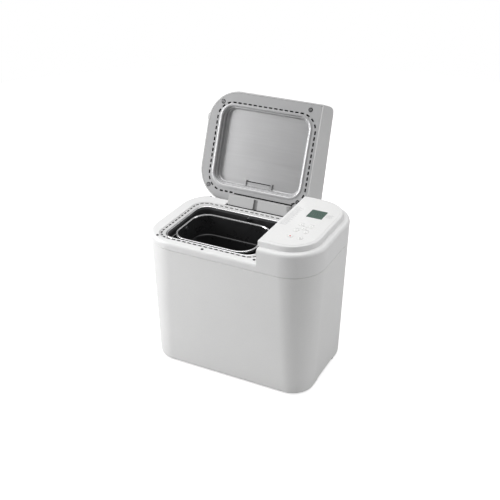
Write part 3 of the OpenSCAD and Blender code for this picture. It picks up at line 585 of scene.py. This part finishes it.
def bread_pan():
    box = PAN_BOX
    rim, floor = box[1].z, box[0].z
    t = 0.0016
    half = t / 2
    lip = [(0.0008, rim - 0.0030), (0.0008, rim - 0.0014)]
    lip += quarter(lip[-1], (0.0020, rim - half), 4)
    into = quarter_level((0.0024, rim - half), (0.0034, rim - 0.0030), 4)
    step = [(0.0034, 0.2462)] + quarter((0.0034, 0.2462), (0.0044, 0.2445), 3)
    step += quarter_level((0.0050, 0.2442), (0.0062, 0.2425), 3)
    down = [(0.0064, floor + 0.016)] + quarter((0.0064, floor + 0.016), (0.0200, floor + 0.0015), 8)
    hole = post_bm((box[0].x + box[1].x) / 2, (box[0].y + box[1].y) / 2, 0.00905,
                   floor - 0.002, floor + 0.006)
    made = sheet_of(lip + into + step + down, box, 0.0365, "pressed_bread_pan", t, [hole])
    for face in made.data.polygons:
        face.material_index = 1 if face.center.z > rim - 0.0022 else 0
    even = made.modifiers.new("even_normals", "WEIGHTED_NORMAL")
    even.keep_sharp = True
    return finish_piece(made, "pan", ["bread_pan"], [MATS["non_stick"], MATS["bright_steel"]])


def chamber():
    box = CHAMBER_BOX
    top, floor = box[1].z, box[0].z
    t = 0.0012
    half = t / 2
    into = quarter_level((0.0014, top - half), (0.0049, top - 0.0036), 5)
    down = [(0.0049, floor + 0.012)] + quarter((0.0049, floor + 0.012), (0.0160, floor + half), 7)
    low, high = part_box("bearing_housing")
    hole = post_bm((low.x + high.x) / 2, (low.y + high.y) / 2, 0.0142, floor - 0.002, floor + 0.003)
    edge = [(0.0002, top - half), (0.0010, top - half)]
    made = sheet_of(edge + into + down, box, 0.0295, "pressed_chamber", t, [hole])
    even = made.modifiers.new("even_normals", "WEIGHTED_NORMAL")
    even.keep_sharp = True
    return finish_piece(made, "housing", ["chamber"], MATS["chamber_steel"])


def slot_cutters(x, y, r, z, pitch, length, width, gaps=()):
    """Boxes along a rounded rectangle: rows on its sides, three in each corner, and none in the gaps."""
    bm = bmesh.new()
    height, middle = z[1] - z[0], (z[0] + z[1]) / 2
    run_x, run_y = x[1] - x[0] - 2 * r, y[1] - y[0] - 2 * r
    count_x, count_y = math.floor(run_x / pitch), math.floor(run_y / pitch)
    places = [Matrix.Translation((x[0] + r + run_x * i / count_x, side, middle))
              for side in y for i in range(count_x + 1)]
    turn = Matrix.Rotation(math.pi / 2, 4, "Z")
    places += [Matrix.Translation((side, y[0] + r + run_y * i / count_y, middle)) @ turn
               for side in x for i in range(count_y + 1)]
    for q in range(4):
        centre = (x[1] - r if q in (0, 3) else x[0] + r, y[1] - r if q < 2 else y[0] + r, middle)
        for k in (1, 2, 3):
            aim = Matrix.Rotation(math.radians(90 * q + 22.5 * k), 4, "Z")
            places.append(Matrix.Translation(centre) @ aim @ Matrix.Translation((r, 0, 0)) @ turn)
    for place in places:
        at = place.translation
        if not any(g[0] < at.x < g[1] and g[2] < at.y < g[3] for g in gaps):
            bmesh.ops.create_cube(bm, size=1, matrix=place @ Matrix.Diagonal((length, width, height, 1)))
    return bm


def paint_slot_shade(target, x, y, r, reach):
    """Second material on the upright faces that lie near the line of slots: painted shade, so the slot walls
    read as in shadow.
    """
    for face in target.data.polygons:
        c = face.center
        inner_x = max(x[0] + r - c.x, c.x - x[1] + r, 0)
        inner_y = max(y[0] + r - c.y, c.y - y[1] + r, 0)
        near = abs(math.hypot(inner_x, inner_y) - r) < reach
        face.material_index = 1 if near and abs(face.normal.z) < 0.5 else 0


def deck_ring():
    x, y, r = (-0.158, 0.068), (-0.105, 0.0755), 0.028
    bottom, top = RING_BOX[0].z, RING_BOX[1].z
    through = (bottom - 0.002, top + 0.002)
    made = to_object(loft([centred(RING_BOX, 0, z, 0.0326) for z in (bottom, top)]), "moulded_deck_ring")
    low, high = CHAMBER_BOX
    inner = (low + Vector((0.0009, 0.0009, 0)), high - Vector((0.0009, 0.0009, 0)))
    hole = loft([centred(inner, 0, z, 0.0286) for z in through])
    boolean(made, [hole, slot_cutters(x, y, r, through, 0.012, 0.0075, 0.0032)])
    # painted shade on the slot walls, so the slots read dark
    paint_slot_shade(made, x, y, r, 0.0018)
    smooth(made, 30)
    soften(made, 0.0004, 2)
    return finish_piece(made, "housing", ["deck_ring"],
                        [MATS["ring_plastic"], MATS["painted_shade_black"]])


# ---- Lid ----
def lid_frame():
    x, y, r = (-0.1685, 0.0625), (-0.101, 0.0925), 0.036
    x0, x1, y0, y1, corner = DISH[:5]
    gap = WALL + 0.0004
    through = (LID_PLANE - 0.001, LID_PLANE + 0.004)
    edge = [ring(LID_LEFT + gap, LID_RIGHT - gap, LID_FRONT + gap, LID_BACK - gap - 0.0002,
                 LID_CORNER - gap, 0.0036, z) for z in (LID_PLANE, LID_PLANE + 0.003)]
    made = to_object(loft(edge), "moulded_lid_frame")
    hole = loft([ring(x0 - 0.0015, x1 + 0.0015, y0 - 0.0015, y1 + 0.0015, corner + 0.0015, corner + 0.0015, z)
                 for z in through])
    screws = [post_bm(a, b, 0.0021, *through) for a, b in LID_SCREWS]
    gaps = [(-0.1015, 0.034, 0.085, 0.1), (0.045, 0.057, 0.077, 0.09)]
    boolean(made, [hole, slot_cutters(x, y, r, through, 0.0115, 0.0078, 0.0034, gaps)] + screws)
    # painted shade on the slot walls, so the slots read dark
    paint_slot_shade(made, x, y, r, 0.0019)
    made.data.transform(OPEN)
    smooth(made, 30)
    soften(made, 0.0003, 2)
    return finish_piece(made, "lid", ["lid_frame"],
                        [MATS["grey_plastic"], MATS["painted_shade_black"]])


def lid_ring(inset, share, hinge_inset):
    front, back = share * LID_RISE[0], share * LID_RISE[1]
    return ring(LID_LEFT + inset, LID_RIGHT, LID_FRONT + inset, LID_BACK - hinge_inset,
                LID_CORNER - inset, 0.004, LID_PLANE + front, back - front)


def eased(table, steps=4):
    """Adds points between the rows of a table along a smooth curve."""
    out = []
    for i in range(len(table) - 1):
        p = [table[max(i - 1, 0)], table[i], table[i + 1], table[min(i + 2, len(table) - 1)]]
        for k in range(steps):
            t = k / steps
            out.append([0.5 * (2 * b + (c - a) * t + (2 * a - 5 * b + 4 * c - d) * t * t
                               + (3 * b - a - 3 * c + d) * t ** 3) for a, b, c, d in zip(*p)])
    return out + [list(table[-1])]


def turned_open(bm):
    bmesh.ops.transform(bm, matrix=OPEN, verts=bm.verts[:])
    return bm


def lid_shell():
    # (inset at front and left, share of the height, inset at the hinge)
    outside = [(0, 0.05, 0), (0.0004, 0.3, 0.009), (0.0009, 0.55, 0.010), (0.0018, 0.78, 0.0115),
               (0.0042, 0.92, 0.017), (0.009, 0.98, 0.027), (0.019, 1, 0.038)]
    inside = [(WALL, -0.05, WALL), (WALL, 0.06, WALL), (WALL + 0.001, 0.3, WALL + 0.009),
              (WALL + 0.0018, 0.54, WALL + 0.010), (WALL + 0.0032, 0.72, 0.016), (WALL + 0.006, 0.86, 0.022),
              (WALL + 0.014, 0.93, 0.032)]
    made = to_object(loft([lid_ring(0, 0, 0)] + [lid_ring(*row) for row in eased(outside)]), "shell_lid")
    core = to_object(loft([lid_ring(*row) for row in inside]), "core")
    boolean(core, [box_bm((LID_RIGHT - WALL, -0.3, 0), (0.3, 0.3, 0.6))])
    bm = bmesh.new()
    bm.from_mesh(core.data)
    bpy.data.objects.remove(core)
    vents = [box_bm((-0.080 + 0.009 * i, 0.026, 0.350), (-0.076 + 0.009 * i, 0.058, 0.400)) for i in range(7)]
    boolean(made, [bm] + vents)
    middle = Vector(((LID_LEFT + LID_RIGHT) / 2, LID_BACK - LID_DEPTH / 2, LID_PLANE + 0.02))
    # painted shade on the inside faces of the lid shell, so its vents and hollow read dark
    paint_inside_shade(made, middle, LID_PLANE + 0.001)
    made.data.transform(OPEN)
    smooth(made)
    soften(made, 0.0013, 3)
    return finish_piece(made, "lid", ["lid_shell"], [MATS["lid_plastic"], MATS["painted_shade_inside"]])


def lid_lug():
    """Hinge lug: a block with a groove under the lid, a recess in its middle and the bore for the pin; the
    groove and the recess carry painted shade.
    """
    x0, x1, y0, y1, drop = LUG
    groove = 0.0022
    made = to_object(box_bm((x0, y0, LID_PLANE - drop), (x1, y1, LID_PLANE)), "moulded_lid_lug")
    cut = box_bm((x0 + 0.002, y0 - 0.001, LID_PLANE - groove), (x1 - 0.002, y0 + 0.004, LID_PLANE + 0.001))
    slot = box_bm((-0.0385, y0 - 0.005, LID_PLANE - drop - 0.01),
                  (-0.0295, y1 + 0.005, LID_PLANE - drop + 0.0035))
    turn = Matrix.Translation((-0.030, HINGE_Y, HINGE_Z)) @ Matrix.Rotation(math.pi / 2, 4, "Y")
    boolean(made, [cut, slot, post_bm(0, 0, 0.00306, 0, 0.180, turn)])
    # painted shade: the groove under the lid gets near black, the middle recess a darker grey
    for face in made.data.polygons:
        in_groove_shade = face.center.z > LID_PLANE - groove - 0.0001 and y0 + 0.0001 < face.center.y < y0 + 0.0045
        in_slot_shade = LID_PLANE - drop + 0.0002 < face.center.z < LID_PLANE - drop + 0.0037
        face.material_index = 1 if in_groove_shade else 2 if in_slot_shade else 0
    made.data.transform(OPEN)
    smooth(made, 30)
    soften(made, 0.0007, 3)
    # painted shadow: a thin near-black sheet on the lid frame above the lug, where the groove's shade falls
    gap = box_bm((x0 - 0.001, y0 - 0.0026, LID_PLANE - 0.00006), (x1 + 0.001, y0 + 0.0005, LID_PLANE))
    finish_piece(to_object(turned_open(gap), "lug_gap_painted_shadow"), "lid", [], MATS["painted_shade_black"])
    return finish_piece(made, "lid", ["lid_lug"],
                        [MATS["lug_plastic"], MATS["painted_shade_black"], MATS["lug_recess_shade"]])


def painted_screw_shadows():
    """Painted shadow: a thin near-black disc round each screw head in the lid's frame, standing in for the
    shade of a recess.
    """
    for i, (x, y) in enumerate(LID_SCREWS):
        disc = post_bm(x, y, 0.0050, LID_PLANE - 0.00006, LID_PLANE)
        made = to_object(turned_open(disc), f"painted_screw_shadow_{i}")
        finish_piece(made, "lid", [], MATS["painted_shade_black"])


def lid_dish():
    x0, x1, y0, y1, corner, depth = DISH
    t = 0.0008
    low = LID_PLANE - 0.0008
    box = (Vector((x0 - 0.006, y0 - 0.006, 0)), Vector((x1 + 0.006, y1 + 0.006, 0)))
    lip = [(0.0004, low + 0.0006), (0.0012, low + 0.0004), (0.0036, low + 0.0004)]
    into = quarter_level((0.0036, low + 0.0004), (0.0066, low + 0.0034), 5)
    ledge = [(0.0068, low + 0.0056)] + quarter((0.0068, low + 0.0056), (0.0080, low + 0.0066), 3)
    ledge += quarter_level((0.0092, low + 0.0066), (0.0100, low + 0.0078), 3)
    wall = [(0.0102, LID_PLANE + depth - 0.0035)]
    base = quarter(wall[0], (0.0132, LID_PLANE + depth - 0.0005), 5)
    points = lip + into + ledge + wall + base
    levels = [centred(box, inset, z, corner + 0.006 - inset) for inset, z in points]
    made = to_object(loft(levels, closed=False), "pressed_lid_dish")
    shell(made, t, 0)
    vent = box_bm((-0.080, 0.062, 0.300), (-0.024, 0.073, 0.330))
    boolean(made, [vent])
    tabs = [box_bm((x, 0.060, LID_PLANE + depth - 0.004), (x + 0.002, 0.075, LID_PLANE + depth - 0.0005))
            for x in (-0.084, -0.022)]
    boolean(made, tabs, "UNION")
    made.data.transform(OPEN)
    smooth(made, 30)
    even = made.modifiers.new("even_normals", "WEIGHTED_NORMAL")
    even.keep_sharp = True
    return finish_piece(made, "lid", ["lid_dish"], MATS["dish_aluminium"])


# ---- Panel graphics: plain dots and bars, no lettering ----
def mark(name, x, y, hx, hy, mat, z, height=0.00006):
    made = to_object(box_bm((x - hx, y - hy, z), (x + hx, y + hy, z + height)), name)
    return finish_piece(made, "housing", [], mat)


def dot(name, x, y, r, mat, z, body):
    made = to_object(post_bm(x, y, r, z, z + 0.00006, segments=32), name)
    return finish_piece(made, body, [], mat)


def panel_marks():
    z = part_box("panel_overlay")[1].z
    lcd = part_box("lcd_window")
    first, last, pitch = 0.056, -0.036, 0.0042
    for i in range(int((first - last) / pitch)):
        half = 0.0050 + 0.0035 * abs(math.sin(1.7 * i))
        y = first - pitch * i
        mark(f"print_left_{i}", 0.0795 + half, y, half, 0.00042, MATS["print_grey"], z)
    for i, (half, y) in enumerate([(0.0075, 0.047), (0.0062, 0.043), (0.0070, 0.039), (0.0055, 0.035)]):
        mark(f"print_right_{i}", lcd[1].x + 0.003 + half, y, half, 0.0004, MATS["print_grey"], z)
    for i, c in enumerate(key_centres()[2:]):
        mark(f"print_key_{i}", c.x, c.y + 0.0082, 0.0042, 0.0004, MATS["print_grey"], z)


def key_marks():
    for n, c in zip(KEYS, key_centres()):
        mat = MATS["print_red"] if n == "start_key" else MATS["print_grey"]
        r = 0.0019 if n in ("start_key", "stop_key") else 0.0010
        dot("dot_" + n, c.x, c.y, r, mat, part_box(n)[1].z - 0.00001, n)


def lcd_marks():
    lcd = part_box("lcd_window")
    z = lcd[1].z - 0.00001
    low, high = lcd
    cx, cy = (low.x + high.x) / 2, (low.y + high.y) / 2
    for i, dx in enumerate((-0.0085, 0.0005, 0.0075)):
        for k, (ox, oy, hx, hy) in enumerate(DIGIT):
            mark(f"lcd_bar_{i}_{k}", cx + dx + ox, cy + oy, hx, hy, MATS["lcd_mark"], z, 0.00003)


# ---- CAD nodes that are shown as they are ----
def dress_nodes():
    slots = {s["node"]: s["material_slot"] for s in frame["record"]["subparts"]}
    special = {"lid_screws": "screw_steel", "lid_vent": "dish_aluminium"}
    for name, node in NODES.items():
        node.data.materials.clear()
        node.data.materials.append(MATS[special.get(name, slots[name])])
    softened = {"lid_tab": 0.001, "panel_overlay": 0.0001, "lcd_window": 0.0003, "chamber_rim": 0.0015}
    for name, width in softened.items():
        weld = NODES[name].modifiers.new("weld", "WELD")
        weld.merge_threshold = 1e-6
        soften(NODES[name], width, 2)


# ---- Scene ----
def floor_material():
    """Pale floor. What the camera sees of it is lifted towards white, so that it runs into the background."""
    pale = bpy.data.materials.new("floor")
    pale.use_nodes = True
    tree = pale.node_tree
    shader = tree.nodes["Principled BSDF"]
    shader.inputs["Base Color"].default_value = (0.62, 0.62, 0.62, 1)
    shader.inputs["Roughness"].default_value = 0.9
    shader.inputs["Specular IOR Level"].default_value = 0.1
    shader.inputs["Emission Color"].default_value = (1, 1, 1, 1)
    path = tree.nodes.new("ShaderNodeLightPath")
    lift = math_node(tree, "MULTIPLY", path.outputs["Is Camera Ray"], 0.70)
    tree.links.new(lift, shader.inputs["Emission Strength"])
    return pale


def studio():
    world = bpy.data.worlds.new("studio")
    world.use_nodes = True
    tree = world.node_tree
    sky = tree.nodes["Background"]
    sky.inputs["Color"].default_value = (1, 1, 1, 1)
    # the camera sees plain white; light comes mostly from above, so metal mirrors a darker horizon
    path = tree.nodes.new("ShaderNodeLightPath")
    direction = tree.nodes.new("ShaderNodeTexCoord")
    parts = tree.nodes.new("ShaderNodeSeparateXYZ")
    tree.links.new(direction.outputs["Generated"], parts.inputs["Vector"])
    dome = remap(tree, parts.outputs["Z"], 0.12, 0.50, 0.05, 0.8)
    seen = path.outputs["Is Camera Ray"]
    lit = math_node(tree, "MULTIPLY", dome, math_node(tree, "SUBTRACT", 1.0, seen))
    tree.links.new(math_node(tree, "ADD", lit, seen), sky.inputs["Strength"])
    bpy.context.scene.world = world
    bpy.context.scene.view_settings.view_transform = "Standard"
    bm = bmesh.new()
    bmesh.ops.create_circle(bm, cap_ends=True, radius=2.2, segments=96)
    floor = to_object(bm, "floor")
    floor.data.materials.append(floor_material())
    area_light("top", (-0.2, -0.1, 2.3), 2.4, 31)
    area_light("left", (-1.45, -0.75, 0.70), 0.9, 19)
    area_light("right", (1.7, 0.9, 0.80), 1.2, 10)


def area_light(name, place, size, power):
    data = bpy.data.lights.new(name, "AREA")
    data.size = size
    data.energy = power
    lamp = bpy.data.objects.new(name, data)
    bpy.context.scene.collection.objects.link(lamp)
    lamp.location = place
    lamp.rotation_euler = (Vector((0, 0, 0.25)) - Vector(place)).to_track_quat("-Z", "Y").to_euler()


def camera():
    data = bpy.data.cameras.new("camera")
    data.sensor_width = 36
    data.lens = 62.85
    data.clip_start = 0.05
    made = bpy.data.objects.new("camera", data)
    bpy.context.scene.collection.objects.link(made)
    made.location = (0.7162, -1.4211, 1.1000)
    look = Vector((0.0859, -0.1689, 0.3505)) - made.location
    made.rotation_euler = look.to_track_quat("-Z", "Y").to_euler()
    bpy.context.scene.camera = made


lower_housing()
top_frame()
step_floor()
panel_cap()
bread_pan()
chamber()
deck_ring()
lid_shell()
lid_dish()
lid_frame()
lid_lug()
painted_screw_shadows()
panel_marks()
key_marks()
lcd_marks()
dress_nodes()
studio()
camera()

bpy.context.view_layer.update()
